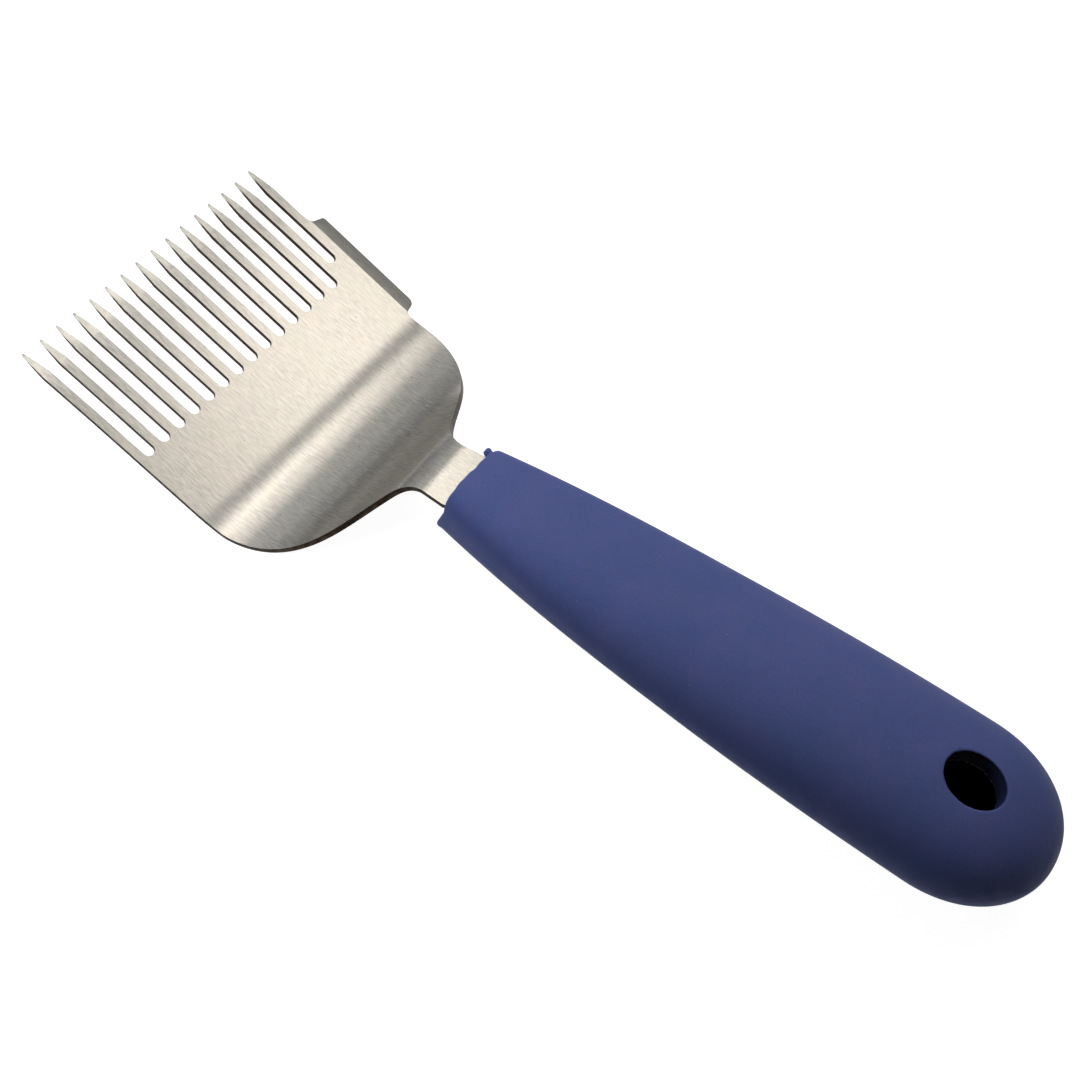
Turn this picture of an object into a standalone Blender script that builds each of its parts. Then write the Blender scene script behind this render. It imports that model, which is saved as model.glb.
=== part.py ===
"""Uncapping fork: a stamped steel fork blade, a hard handle core round its tang and a soft grip.

World axes: +X runs along the handle from the tine tips to the butt, +Z is up as the fork lies
on a table, resting on the heel of the blade and the belly of the butt. The origin is the centre
of the footprint, on the table.
"""
import math

import bmesh
import bpy
from mathutils import Matrix, Vector
from mathutils.geometry import interpolate_bezier

MM = 0.001

# Fork blade. It is laid out as a flat sheet first: "along" runs from the tine tips towards the
# handle, "across" runs over the width, and zero across is the middle.
SHEET = 1.2 * MM
TINE_COUNT = 16
TINE_PITCH = 4.26 * MM
TINE_WIDTH = 1.85 * MM
TINE_TIP_WIDTH = 0.3 * MM
TINE_POINT_LENGTH = 6.0 * MM
TINE_POINT_SWELL = 0.85
SLOT_END = 30.6 * MM
LAST_SLOT_END = 26.4 * MM
PLATE_HALF_WIDTH = 32.9 * MM
PLATE_SIDE_START = 32.0 * MM
SHOULDER_START = 50.0 * MM
SHOULDER_REACH = 9.5 * MM
FLANK_ALONG = 70.5 * MM
FLANK_HALF_WIDTH = 19.6 * MM
FLANK_SLOPE = math.radians(56)
FLANK_REACH = 9.0 * MM
WAIST_ALONG = 84.0 * MM
WAIST_REACH = 4.5 * MM
WAIST_HALF_WIDTH = 6.6 * MM
NECK_END = 89.0 * MM
NECK_HALF_WIDTH = 6.95 * MM

# Scraper: a tab on the right-hand side of the plate, whose top face is ground down to an edge.
SCRAPER_EDGE = 36.8 * MM
BEVEL_START = 33.35 * MM
BEVEL_EDGE = 0.2 * MM
FILLET_START = 13.0 * MM
SCRAPER_START = 17.2 * MM
SCRAPER_END = 44.9 * MM
SCRAPER_LEAN = 0.25 * MM
FRONT_FILLET = 1.5 * MM
FRONT_CORNER = 0.8 * MM
REAR_FILLET = 1.8 * MM
REAR_CORNER = 1.7 * MM
GRINDER_MARGIN = 3.0 * MM
CORNER_PULL = 0.55

# Bends across the blade, as (start, end, slope reached). The plate is level before the first.
CREASE_SLOPE = math.radians(15.5)
SLOPE = math.radians(69)
HANDLE_SLOPE = math.radians(21.6)
BENDS = (
    (45.2 * MM, 49.0 * MM, CREASE_SLOPE),
    (52.5 * MM, 75.5 * MM, SLOPE),
    (76.8 * MM, 85.4 * MM, HANDLE_SLOPE),
)
BEND_STEP = math.radians(4)
PROFILE_STEP = 0.1 * MM

# Tang: the end of the blade inside the handle, with two anchor holes.
TANG_END = 148.0 * MM
TANG_HALF_WIDTH = 5.0 * MM
TANG_SHOULDER = 96.0 * MM
TANG_CORNER = 2.0 * MM
ANCHOR_RADIUS = 2.5 * MM
ANCHORS = (112.0 * MM, 134.0 * MM)
ANCHOR_CUT = 8.0 * MM
PIN_LENGTH = 12.0 * MM

# Handle, measured from its mouth along its axis.
HANDLE_LENGTH = 124.8 * MM
DOME_START = 104.8 * MM
MOUTH_HALF_WIDTH = 8.4 * MM
BUTT_HALF_WIDTH = 16.9 * MM
MOUTH_HALF_HEIGHT = 7.3 * MM
BUTT_HALF_HEIGHT = 11.3 * MM
WIDTH_SWELL = 2.58
HEIGHT_SWELL = 1.465
MOUTH_SQUARENESS = 3.3
BUTT_SQUARENESS = 2.15
SQUARE_LENGTH = 55.0 * MM
DOME_POWER = 2.1
MOUTH_ROUND = 0.6 * MM
NECK_ABOVE_AXIS = 2.2 * MM
MOUTH_ON_BLADE = 89.7 * MM
HOLE_ALONG = 105.2 * MM
HOLE_RADIUS = 5.2 * MM
HOLE_CUT = 45.0 * MM
SLOT_RUN_OUT = 2.0 * MM
GRIP_SLOT_REACH = 4.0 * MM
SKIN = 2.0 * MM
GAP = 0.3 * MM

RING_POINTS = 40
CORE_RING_POINTS = 28
HOLE_SEGMENTS = 32
GRIP_STATIONS = 26
GRIP_DOME_STATIONS = 10
CORE_STATIONS = 14
CORE_DOME_STATIONS = 7
MOUTH_STEPS = 4
SHARP_ANGLE = math.radians(30)


def clear_scene():
    for thing in list(bpy.data.objects):
        bpy.data.objects.remove(thing, do_unlink=True)


def make_material(name, colour, metallic, roughness):
    material = bpy.data.materials.new(name)
    material.use_nodes = True
    shader = material.node_tree.nodes["Principled BSDF"]
    shader.inputs["Base Color"].default_value = (*colour, 1.0)
    shader.inputs["Metallic"].default_value = metallic
    shader.inputs["Roughness"].default_value = roughness
    return material


def add_object(name, bm, material=None):
    mesh = bpy.data.meshes.new(name)
    bm.to_mesh(mesh)
    bm.free()
    thing = bpy.data.objects.new(name, mesh)
    bpy.context.scene.collection.objects.link(thing)
    if material:
        mesh.materials.append(material)
        mesh.shade_smooth()
        mesh.set_sharp_from_angle(angle=SHARP_ANGLE)
    return thing


def hide_cutter(thing):
    thing.hide_render = True
    thing.display_type = "WIRE"


def cut(thing, cutter):
    hide_cutter(cutter)
    boolean = thing.modifiers.new(cutter.name, "BOOLEAN")
    boolean.operation = "DIFFERENCE"
    boolean.solver = "EXACT"
    boolean.object = cutter


def cylinder(name, radius, height, centre):
    bm = bmesh.new()
    bmesh.ops.create_cone(bm, cap_ends=True, segments=HOLE_SEGMENTS, radius1=radius, radius2=radius,
                          depth=height, matrix=Matrix.Translation(centre))
    return add_object(name, bm)


# The sheet's side view.

def sheet_slope(along):
    """Slope of the sheet at a distance along it, easing in and out of every bend."""
    slope = 0.0
    for start, end, reached in BENDS:
        part = min(max((along - start) / (end - start), 0.0), 1.0)
        slope += (reached - slope) * part * part * (3 - 2 * part)
    return slope


def side_view(length):
    """Positions (along, x, z) of the sheet's top face, stepped from the tine tips."""
    x = z = 0.0
    rows = [(0.0, x, z)]
    steps = round(length / PROFILE_STEP)
    for step in range(steps):
        middle = sheet_slope((step + 0.5) * PROFILE_STEP)
        x += PROFILE_STEP * math.cos(middle)
        z += PROFILE_STEP * math.sin(middle)
        rows.append(((step + 1) * PROFILE_STEP, x, z))
    return rows


PROFILE = side_view(TANG_END + MM)


def on_sheet(along):
    """The x and z of the sheet's top face at a distance along it."""
    place = min(max(along / PROFILE_STEP, 0.0), len(PROFILE) - 1.001)
    row = int(place)
    part = place - row
    x = PROFILE[row][1] * (1 - part) + PROFILE[row + 1][1] * part
    z = PROFILE[row][2] * (1 - part) + PROFILE[row + 1][2] * part
    return x, z


def bend_stations():
    """Where the flat sheet is divided, so that each bend is a run of narrow facets."""
    stations = []
    before = 0.0
    for start, end, reached in BENDS:
        count = max(3, math.ceil(abs(reached - before) / BEND_STEP))
        stations += [start + (end - start) * step / count for step in range(count + 1)]
        before = reached
    return stations


# The flat sheet's outline, as (along, across) points.

def arc(centre, radius, start, end, steps):
    """Points on an arc from one angle to another, in degrees, both ends included."""
    points = []
    for step in range(steps + 1):
        angle = math.radians(start + (end - start) * step / steps)
        points.append((centre[0] + radius * math.cos(angle), centre[1] + radius * math.sin(angle)))
    return points


def bezier(start, start_handle, end_handle, end, steps):
    knots = [Vector((*point, 0.0)) for point in (start, start_handle, end_handle, end)]
    return [(point.x, point.y) for point in interpolate_bezier(*knots, steps + 1)]


def tine_tip(middle):
    """A tine's point, from its -across side round the tip to its +across side."""
    half = TINE_WIDTH / 2
    tip = TINE_TIP_WIDTH / 2
    shares = (1.0, 0.75, 0.5, 0.25, 0.0)
    widths = [tip + (half - tip) * share ** TINE_POINT_SWELL for share in shares]
    rising = [(share * TINE_POINT_LENGTH, middle - width) for share, width in zip(shares, widths)]
    falling = [(along, 2 * middle - across) for along, across in reversed(rising)]
    return rising + falling


def slot_round(middle, end):
    """The round end of a slot, from its -across side to its +across side."""
    radius = (TINE_PITCH - TINE_WIDTH) / 2
    return arc((end - radius, middle), radius, -90, 90, 8)


def comb_edge():
    """All tine points and slot ends, from the first tine to the last."""
    points = []
    for tine in range(TINE_COUNT):
        middle = (tine - (TINE_COUNT - 1) / 2) * TINE_PITCH
        points += tine_tip(middle)
        if tine < TINE_COUNT - 2:
            points += slot_round(middle + TINE_PITCH / 2, SLOT_END)
        elif tine < TINE_COUNT - 1:
            points += slot_round(middle + TINE_PITCH / 2, LAST_SLOT_END)
    return points


def corner(start, knee, end, steps):
    """A rounded or filleted corner between two points, turning at the knee between them."""
    first = tuple(a + (b - a) * CORNER_PULL for a, b in zip(start, knee))
    second = tuple(a + (b - a) * CORNER_PULL for a, b in zip(end, knee))
    return bezier(start, first, second, end, steps)


def scraper_edge():
    """The scraper tab's outline, from the last tine's side to the plate's side."""
    side = TINE_COUNT / 2 * TINE_PITCH - (TINE_PITCH - TINE_WIDTH) / 2
    front = SCRAPER_START + SCRAPER_LEAN
    rear = SCRAPER_END - SCRAPER_LEAN
    start = bezier((FILLET_START, side), (SCRAPER_START - SCRAPER_LEAN, side),
                   (SCRAPER_START - SCRAPER_LEAN, BEVEL_START), (SCRAPER_START, BEVEL_START + FRONT_FILLET), 8)
    front_corner = corner((front, SCRAPER_EDGE - FRONT_CORNER), (front, SCRAPER_EDGE),
                          (front + FRONT_CORNER, SCRAPER_EDGE), 4)
    rear_corner = corner((rear - REAR_CORNER, SCRAPER_EDGE), (rear, SCRAPER_EDGE),
                         (rear, SCRAPER_EDGE - REAR_CORNER), 6)
    foot = corner((SCRAPER_END, PLATE_HALF_WIDTH + REAR_FILLET / 2), (SCRAPER_END, PLATE_HALF_WIDTH),
                  (SCRAPER_END + REAR_FILLET, PLATE_HALF_WIDTH), 6)
    return start + front_corner + rear_corner + foot


def shoulder_edge():
    """The curve from the plate's side over the shoulder and down into the waist, +across side."""
    flank = (FLANK_ALONG, FLANK_HALF_WIDTH)
    run = Vector((math.cos(FLANK_SLOPE), -math.sin(FLANK_SLOPE)))
    before = Vector(flank) - run * FLANK_REACH
    after = Vector(flank) + run * FLANK_REACH
    shoulder = bezier((SHOULDER_START, PLATE_HALF_WIDTH),
                      (SHOULDER_START + SHOULDER_REACH, PLATE_HALF_WIDTH), before, flank, 14)
    waist = bezier(flank, after, (WAIST_ALONG - WAIST_REACH, WAIST_HALF_WIDTH),
                   (WAIST_ALONG, WAIST_HALF_WIDTH), 10)
    return shoulder + waist[1:]


def tang_edge():
    """The neck and the tang, from the waist to the tang's end, +across side."""
    corner = arc((TANG_END - TANG_CORNER, TANG_HALF_WIDTH - TANG_CORNER), TANG_CORNER, 90, 0, 4)
    return [(NECK_END, NECK_HALF_WIDTH), (TANG_SHOULDER, TANG_HALF_WIDTH)] + corner


def blade_outline():
    right = shoulder_edge() + tang_edge()
    left = [(along, -across) for along, across in reversed(right)]
    return comb_edge() + scraper_edge() + right + left + [(PLATE_SIDE_START, -PLATE_HALF_WIDTH)]


def blade_mesh():
    bm = bmesh.new()
    corners = [bm.verts.new((along, across, 0.0)) for along, across in blade_outline()]
    bm.faces.new(corners)
    bmesh.ops.recalc_face_normals(bm, faces=bm.faces)
    if bm.faces[:][0].normal.z < 0:
        bmesh.ops.reverse_faces(bm, faces=bm.faces)
    for station in bend_stations():
        everything = bm.verts[:] + bm.edges[:] + bm.faces[:]
        bmesh.ops.bisect_plane(bm, geom=everything, plane_co=(station, 0, 0), plane_no=(1, 0, 0))
    for vert in bm.verts:
        along, across, _ = vert.co
        x, z = on_sheet(along)
        vert.co = (x, across, z)
    return bm


def scraper_grinder():
    """A block that takes the scraper's top face down from the bevel's start to a thin edge."""
    width = SCRAPER_EDGE - BEVEL_START
    lean = math.atan2(SHEET - BEVEL_EDGE, width)
    length = SCRAPER_END - FILLET_START + 2 * GRINDER_MARGIN
    bm = bmesh.new()
    bmesh.ops.create_cube(bm, size=1.0)
    size = Matrix.Diagonal((length, width + GRINDER_MARGIN, GRINDER_MARGIN, 1.0))
    corner = Matrix.Translation((0, (width + GRINDER_MARGIN) / 2, GRINDER_MARGIN / 2))
    place = Matrix.Translation(((FILLET_START + SCRAPER_END) / 2, BEVEL_START, 0))
    bm.transform(place @ Matrix.Rotation(-lean, 4, "X") @ corner @ size)
    return add_object("scraper_grinder", bm)


def make_blade(material):
    blade = add_object("fork_blade", blade_mesh(), material)
    solidify = blade.modifiers.new("sheet", "SOLIDIFY")
    solidify.thickness = SHEET
    solidify.offset = -1.0
    solidify.use_even_offset = True
    grinder = scraper_grinder()
    cut(blade, grinder)
    cutters = [grinder]
    for number, along in enumerate(ANCHORS):
        x, z = on_sheet(along)
        hole = cylinder(f"anchor_hole_{number + 1}", ANCHOR_RADIUS, ANCHOR_CUT, (0, 0, 0))
        hole.location = (x, 0, z)
        hole.rotation_euler = (0, -HANDLE_SLOPE, 0)
        cut(blade, hole)
        cutters.append(hole)
    return blade, cutters


# The handle, lofted along +X from its mouth at x = 0.

def half_width(along):
    share = min(max(along / DOME_START, 0.0), 1.0)
    return BUTT_HALF_WIDTH - (BUTT_HALF_WIDTH - MOUTH_HALF_WIDTH) * (1 - share) ** WIDTH_SWELL


def half_height(along):
    share = min(max(along / DOME_START, 0.0), 1.0)
    swell = math.sin(math.pi / 2 * share ** HEIGHT_SWELL) ** 2
    return MOUTH_HALF_HEIGHT + (BUTT_HALF_HEIGHT - MOUTH_HALF_HEIGHT) * swell


def squareness(along):
    boxy = min(max(1 - along / SQUARE_LENGTH, 0.0), 1.0) ** 1.5
    return BUTT_SQUARENESS + (MOUTH_SQUARENESS - BUTT_SQUARENESS) * boxy


def section(x, width, height, power, count):
    """A rounded rectangular or oval ring of points round the handle's axis."""
    ring = []
    for number in range(count):
        angle = 2 * math.pi * number / count
        cosine = math.cos(angle)
        sine = math.sin(angle)
        y = width * math.copysign(abs(cosine) ** (2 / power), cosine)
        z = height * math.copysign(abs(sine) ** (2 / power), sine)
        ring.append((x, y, z))
    return ring


def handle_form(name, inset, start, count, stations, dome_stations, material=None):
    """A solid of the handle's shape, moved in by an inset and starting at a distance along it."""
    end = HANDLE_LENGTH - inset
    rings = []
    for step in range(MOUTH_STEPS):
        angle = step / MOUTH_STEPS * math.pi / 2
        along = start + MOUTH_ROUND * (1 - math.cos(angle))
        shrink = inset + MOUTH_ROUND * (1 - math.sin(angle))
        rings.append(section(along, half_width(along) - shrink, half_height(along) - shrink,
                             squareness(along), count))
    first = start + MOUTH_ROUND
    for step in range(stations):
        along = first + (DOME_START - first) * step / stations
        rings.append(section(along, half_width(along) - inset, half_height(along) - inset,
                             squareness(along), count))
    for step in range(dome_stations):
        reach = math.sin(math.pi / 2 * step / dome_stations)
        scale = (1 - reach ** DOME_POWER) ** (1 / DOME_POWER)
        along = DOME_START + (end - DOME_START) * reach
        rings.append(section(along, (BUTT_HALF_WIDTH - inset) * scale,
                             (BUTT_HALF_HEIGHT - inset) * scale, BUTT_SQUARENESS, count))
    bm = bmesh.new()
    loops = [[bm.verts.new(point) for point in ring] for ring in rings]
    for near, far in zip(loops, loops[1:]):
        for number in range(count):
            after = (number + 1) % count
            bm.faces.new((near[number], far[number], far[after], near[after]))
    bm.faces.new(loops[0])
    pole = bm.verts.new((end, 0, 0))
    last = loops[-1]
    for number in range(count):
        bm.faces.new((last[number], pole, last[(number + 1) % count]))
    bmesh.ops.recalc_face_normals(bm, faces=bm.faces)
    return add_object(name, bm, material)


def tang_slot(name, reach):
    """A flat block round the neck and tang, with the gap on every side, to a reach in the handle."""
    length = SLOT_RUN_OUT + reach
    half_wide = NECK_HALF_WIDTH + GAP
    bm = bmesh.new()
    bmesh.ops.create_cube(bm, size=1.0)
    size = Matrix.Diagonal((length, 2 * half_wide, SHEET + 2 * GAP, 1.0))
    middle = NECK_ABOVE_AXIS - SHEET / 2
    bm.transform(Matrix.Translation((length / 2 - SLOT_RUN_OUT, 0, middle)) @ size)
    return add_object(name, bm)


def make_core(material):
    """The hard inner moulding, with a slot for the tang and two pins through its holes."""
    inset = SKIN + GAP
    core = handle_form("handle_core", inset, inset, CORE_RING_POINTS, CORE_STATIONS,
                       CORE_DOME_STATIONS, material)
    reach = TANG_END - MOUTH_ON_BLADE
    slot = tang_slot("core_slot", reach + GAP)
    for number, along in enumerate(ANCHORS):
        pin = cylinder(f"anchor_pin_{number + 1}", ANCHOR_RADIUS - GAP, PIN_LENGTH,
                       (along - MOUTH_ON_BLADE, 0, NECK_ABOVE_AXIS))
        cut(slot, pin)
    cut(core, slot)
    cut(core, cylinder("core_hole", HOLE_RADIUS, HOLE_CUT, (HOLE_ALONG, 0, 0)))
    return core


def make_grip(material):
    """The soft outer moulding: a skin over the core, closed round the neck at the mouth."""
    grip = handle_form("handle_grip", 0.0, 0.0, RING_POINTS, GRIP_STATIONS, GRIP_DOME_STATIONS, material)
    hollow = handle_form("grip_hollow", SKIN, SKIN, CORE_RING_POINTS, CORE_STATIONS, CORE_DOME_STATIONS)
    cut(grip, hollow)
    cut(grip, tang_slot("grip_slot", GRIP_SLOT_REACH))
    cut(grip, cylinder("grip_hole", HOLE_RADIUS, HOLE_CUT, (HOLE_ALONG, 0, 0)))
    return grip


def place_on_table(things, tool):
    """Moves the tool so that the centre of its footprint is the origin, on the table."""
    bpy.context.view_layer.update()
    graph = bpy.context.evaluated_depsgraph_get()
    corners = []
    for thing in things:
        shape = thing.evaluated_get(graph)
        corners += [shape.matrix_world @ vert.co for vert in shape.data.vertices]
    low = Vector([min(corner[axis] for corner in corners) for axis in range(3)])
    high = Vector([max(corner[axis] for corner in corners) for axis in range(3)])
    tool.location = (-(low.x + high.x) / 2, -(low.y + high.y) / 2, -low.z)


def main():
    clear_scene()
    steel = make_material("brushed_steel", (0.62, 0.60, 0.56), 1.0, 0.32)
    plastic = make_material("black_plastic", (0.02, 0.02, 0.025), 0.0, 0.5)
    rubber = make_material("blue_rubber", (0.075, 0.085, 0.24), 0.0, 0.6)
    tool = bpy.data.objects.new("tool", None)
    bpy.context.scene.collection.objects.link(tool)
    blade, blade_cutters = make_blade(steel)
    core = make_core(plastic)
    grip = make_grip(rubber)
    # The blade is turned until its tang is level, then moved until the tang meets the handle.
    turn = Matrix.Rotation(HANDLE_SLOPE, 4, "Y")
    x, z = on_sheet(MOUTH_ON_BLADE)
    shift = Matrix.Translation(Vector((0, 0, NECK_ABOVE_AXIS)) - turn @ Vector((x, 0, z)))
    blade.matrix_world = shift @ turn
    for cutter in blade_cutters:
        cutter.matrix_world = shift @ turn @ cutter.matrix_basis
    for thing in list(bpy.context.scene.objects):
        if thing is not tool:
            thing.parent = tool
    place_on_table((blade, core, grip), tool)


main()
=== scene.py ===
"""Looks of the uncapping fork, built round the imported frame.

The steel blade is laid out flat, divided, given rounded edges and bent. The hard core and the
soft grip are meshed from the handle's form as a field of distances. Lengths are in millimetres
while a shape is made, and in metres in the scene.
"""

import math

import bmesh
import bpy
import numpy as np
from mathutils import Matrix, Vector
from mathutils.geometry import interpolate_bezier


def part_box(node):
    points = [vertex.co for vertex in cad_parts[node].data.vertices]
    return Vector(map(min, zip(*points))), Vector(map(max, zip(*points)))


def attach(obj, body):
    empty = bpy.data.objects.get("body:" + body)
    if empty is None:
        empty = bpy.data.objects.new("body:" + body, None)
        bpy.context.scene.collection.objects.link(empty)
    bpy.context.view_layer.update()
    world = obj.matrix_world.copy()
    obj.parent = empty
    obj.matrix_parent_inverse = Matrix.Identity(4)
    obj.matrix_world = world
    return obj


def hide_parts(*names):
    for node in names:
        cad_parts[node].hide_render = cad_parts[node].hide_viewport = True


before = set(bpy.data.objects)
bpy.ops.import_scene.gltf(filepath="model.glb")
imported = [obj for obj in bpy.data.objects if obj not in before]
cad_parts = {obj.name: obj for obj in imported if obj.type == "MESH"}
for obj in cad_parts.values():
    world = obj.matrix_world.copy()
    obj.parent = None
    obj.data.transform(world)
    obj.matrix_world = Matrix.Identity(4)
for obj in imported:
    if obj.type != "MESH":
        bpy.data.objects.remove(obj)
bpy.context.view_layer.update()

MM = 0.001

# Blade, laid out as a flat sheet in millimetres: "along" runs from the tine tips to the handle.
SHEET = 1.2
TINE_COUNT = 16
TINE_PITCH = 4.26
TINE_WIDTH = 1.85
TINE_TIP_WIDTH = 0.34
TINE_POINT_LENGTH = 6.0
TINE_POINT_SWELL = 0.85
SLOT_END = 30.6
LAST_SLOT_END = 26.4
PLATE_HALF_WIDTH = 32.9
PLATE_SIDE_START = 32.0
SHOULDER_START = 50.0
SHOULDER_REACH = 9.5
FLANK_ALONG = 70.5
FLANK_HALF_WIDTH = 19.6
FLANK_SLOPE = math.radians(56)
FLANK_REACH = 9.0
WAIST_ALONG = 84.0
WAIST_REACH = 4.5
WAIST_HALF_WIDTH = 6.6
NECK_END = 89.0
NECK_HALF_WIDTH = 6.95
SCRAPER_EDGE = 36.8
BEVEL_START = 33.35
BEVEL_EDGE = 0.2
FILLET_START = 13.0
SCRAPER_START = 17.2
SCRAPER_END = 44.9
SCRAPER_LEAN = 0.25
FRONT_FILLET = 1.5
FRONT_CORNER = 0.8
REAR_FILLET = 1.8
REAR_CORNER = 1.7
CORNER_PULL = 0.55
NOSE_CENTRE = 0.9
CLOSEST_POINTS = 0.02
# How many steps each rounded stretch of the outline has.
TIP_STEPS = 10
NOSE_STEPS = 6
SLOT_STEPS = 16
FRONT_FILLET_STEPS = 20
FRONT_CORNER_STEPS = 10
REAR_CORNER_STEPS = 14
REAR_FILLET_STEPS = 12
SHOULDER_STEPS = 40
WAIST_STEPS = 30
TANG_CORNER_STEPS = 6
CREASE_SLOPE = math.radians(15.8)
SLOPE = math.radians(69)
HANDLE_SLOPE = math.radians(21.6)
# Each bend's start, end, slope reached, how it fades out and how softly it starts. A bend
# without a fade is as soft at both ends.
BENDS = (
    (43.9, 53.0, CREASE_SLOPE, 1.35, 0.05),
    (52.3, 75.5, SLOPE, 0.0, 0.0),
    (77.5, 85.34, HANDLE_SLOPE, 1.7, 0.2),
)
BEND_STEP = math.radians(1.2)
PROFILE_STEP = 0.1
TANG_END = 148.0
TANG_HALF_WIDTH = 5.0
TANG_SHOULDER = 96.0
TANG_CORNER = 2.0
ANCHOR_RADIUS = 2.5
ANCHORS = (112.0, 134.0)
ANCHOR_SEGMENTS = 32

# How the stamped edges and the ground points depart from the plain sheet.
TOP_ROUND = 0.06
BOTTOM_ROUND = 0.04
ROUND_STEPS = 4
# Most of the tine's width that the rounding takes, and the sharpest mitre of its inset.
ROUND_SHARE = 0.42
MITRE_LIMIT = 0.6
# Where the flat sheet is divided across: along the tines, and more closely at their points.
TINE_STATION_STEP = 2.0
TINE_STATIONS_END = 31.0
POINT_STATIONS = (0.8, 3.2, 4.8)
FEWEST_BEND_STEPS = 4
DIVIDE_REACH = 1e-5
POINT_TOP_DROP = 0.28
POINT_TOP_CURVE = 1.2
POINT_BOTTOM_RISE = 0.42
POINT_BOTTOM_CURVE = 1.1
POINT_MARGIN = 0.05
BEVEL_MARGIN = 0.01
# The dark sheared edge, its colour partly its rough cut face and partly painted shade on the thin walls,
# fades out over the ground point.
RIM_FADE_START = 1.0
RIM_FADE_LENGTH = TINE_POINT_LENGTH - 2.0
TINE_SWAY = 0.1
TINE_LIFT = 0.14
TINE_BOW = 0.2
STRAY_SEED = 7
SHOULDER_LEAN = 0.3
LEAN_START = 52.0
LEAN_END = 90.0
# How far the direction across the brushing leans to the side.
SCATTER_LEAN = 0.3

# Handle, in millimetres from its mouth along its axis.
HANDLE_LENGTH = 124.8
DOME_START = 104.8
MOUTH_HALF_WIDTH = 8.4
BUTT_HALF_WIDTH = 16.9
MOUTH_HALF_HEIGHT = 7.3
BUTT_HALF_HEIGHT = 11.3
WIDTH_SWELL = 2.58
HEIGHT_SWELL = 1.465
MOUTH_SQUARENESS = 3.8
BUTT_SQUARENESS = 2.15
SQUARE_LENGTH = 55.0
SQUARE_FADE = 1.5
DOME_POWER = 2.1
NECK_ABOVE_AXIS = 2.2
MOUTH_ON_BLADE = 89.7
HOLE_ALONG = 105.3
HOLE_RADIUS = 5.2
HOLE_LONG = 1.045
HOLE_WIDE = 0.92
COLLAR_WIDTH = 1.4
COLLAR_DEEP_AT = 6.2
SKIN = 2.0
GAP = 0.3

# The grip's mouth. Each wave of its edge has a height, a rate across the neck and a phase.
MOUTH_WAVES = ((0.07, 0.9, 0.6), (0.05, 2.1, 0.0))
SLANT_START = 0.5
SLANT = 0.05
SAG = 1.8
SAG_TOP = 2.0
SAG_HEIGHT = 6.0
SAG_SIDE = 1.0
SAG_WIDTH = 8.0
MOUTH_SHOULDER = 0.5
MOUTH_SHOULDER_AT = 6.8
MOUTH_SHOULDER_REACH = 1.6
MOUTH_ROUND = 0.65
GRIP_ROUND = 0.35
# The slot in the grip that the neck goes through, and its clearances.
SLOT_AHEAD = 5.0
SLOT_DEEP = 4.0
SLOT_SIDE_GAP = 0.1
SLOT_FACE_GAP = 0.06
GRIP_HOLE_STEP = 0.1
CORE_MOUTH_ROUND = 1.0
CORE_HOLE_ROUND = 0.5

# The lump of moulding flash beside the neck.
FLASH_PLACE = (0.8, 7.8, 2.2)
FLASH_SIZE = (2.6, 0.85, 1.3)
FLASH_STEEPNESS = 0.8
# The ripples that make it ragged, along and up: height, rate and phase.
FLASH_ALONG = (0.16, 3.1, 1.0)
FLASH_UP = (0.12, 5.3, 0.0)

# How points settle on the field's zero surface.
SLOPE_STEP = 0.02
SETTLE_ROUNDS = 4
FLATTEST_SLOPE = 0.04
LONGEST_MOVE = 0.15

# Which faces count as the hole's wall, where shade is painted into the rubber, and how that painted shade
# lightens on its far side, where light reaches.
WALL_UPRIGHT = 0.85
WALL_FADE = 0.35
WALL_REACH = 1.0
FAR_WALL_LIGHTER = 0.2
FAR_WALL_REACH = 3.0
IN_HOLE = 0.5

# Grids of the handle's fields, in runs of (start, end, step) or (start, end, count). They are
# finest at the mouth and round the hole.
GRIP_XS = ((-2.4, 4.2, 0.26), (4.2, 97.2, 0.95), (97.2, 113.4, 0.29), (113.4, 125.7, 0.65))
GRIP_YS = ((-17.7, -6.6, 0.56), (-6.6, 6.6, 0.3), (6.6, 17.7, 0.45))
GRIP_ZS = (-12.0, 12.0, 61)
CORE_XS = ((1.4, 97.4, 1.0), (97.4, 113.0, 0.5), (113.0, 123.5, 0.8))
CORE_YS = (-15.6, 15.6, 48)
CORE_ZS = (-9.9, 9.9, 34)


# Where the handle lies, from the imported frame.

grip_low, grip_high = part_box("handle_grip")
MOUTH_PLACE = Vector((
    grip_low[0],
    (grip_low[1] + grip_high[1]) / 2,
    (grip_low[2] + grip_high[2]) / 2,
))


# Flat outline of the blade.

def arc(centre, radius, start, end, steps):
    points = []
    for step in range(steps + 1):
        angle = math.radians(start + (end - start) * step / steps)
        points.append((centre[0] + radius * math.cos(angle), centre[1] + radius * math.sin(angle)))
    return points


def bezier(start, start_handle, end_handle, end, steps):
    knots = [Vector((*point, 0.0)) for point in (start, start_handle, end_handle, end)]
    return [(point.x, point.y) for point in interpolate_bezier(*knots, steps + 1)]


def tine_tip(middle):
    half = TINE_WIDTH / 2
    tip = TINE_TIP_WIDTH / 2
    rising = []
    for step in range(TIP_STEPS):
        share = 1 - step / TIP_STEPS
        width = tip + (half - tip) * share ** TINE_POINT_SWELL
        rising.append((share * TINE_POINT_LENGTH, middle - width))
    nose = arc((tip * NOSE_CENTRE, middle), tip, 270, 90, NOSE_STEPS)
    falling = [(along, 2 * middle - across) for along, across in reversed(rising)]
    return rising + nose + falling


def slot_round(middle, end):
    radius = (TINE_PITCH - TINE_WIDTH) / 2
    return arc((end - radius, middle), radius, -90, 90, SLOT_STEPS)


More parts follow.
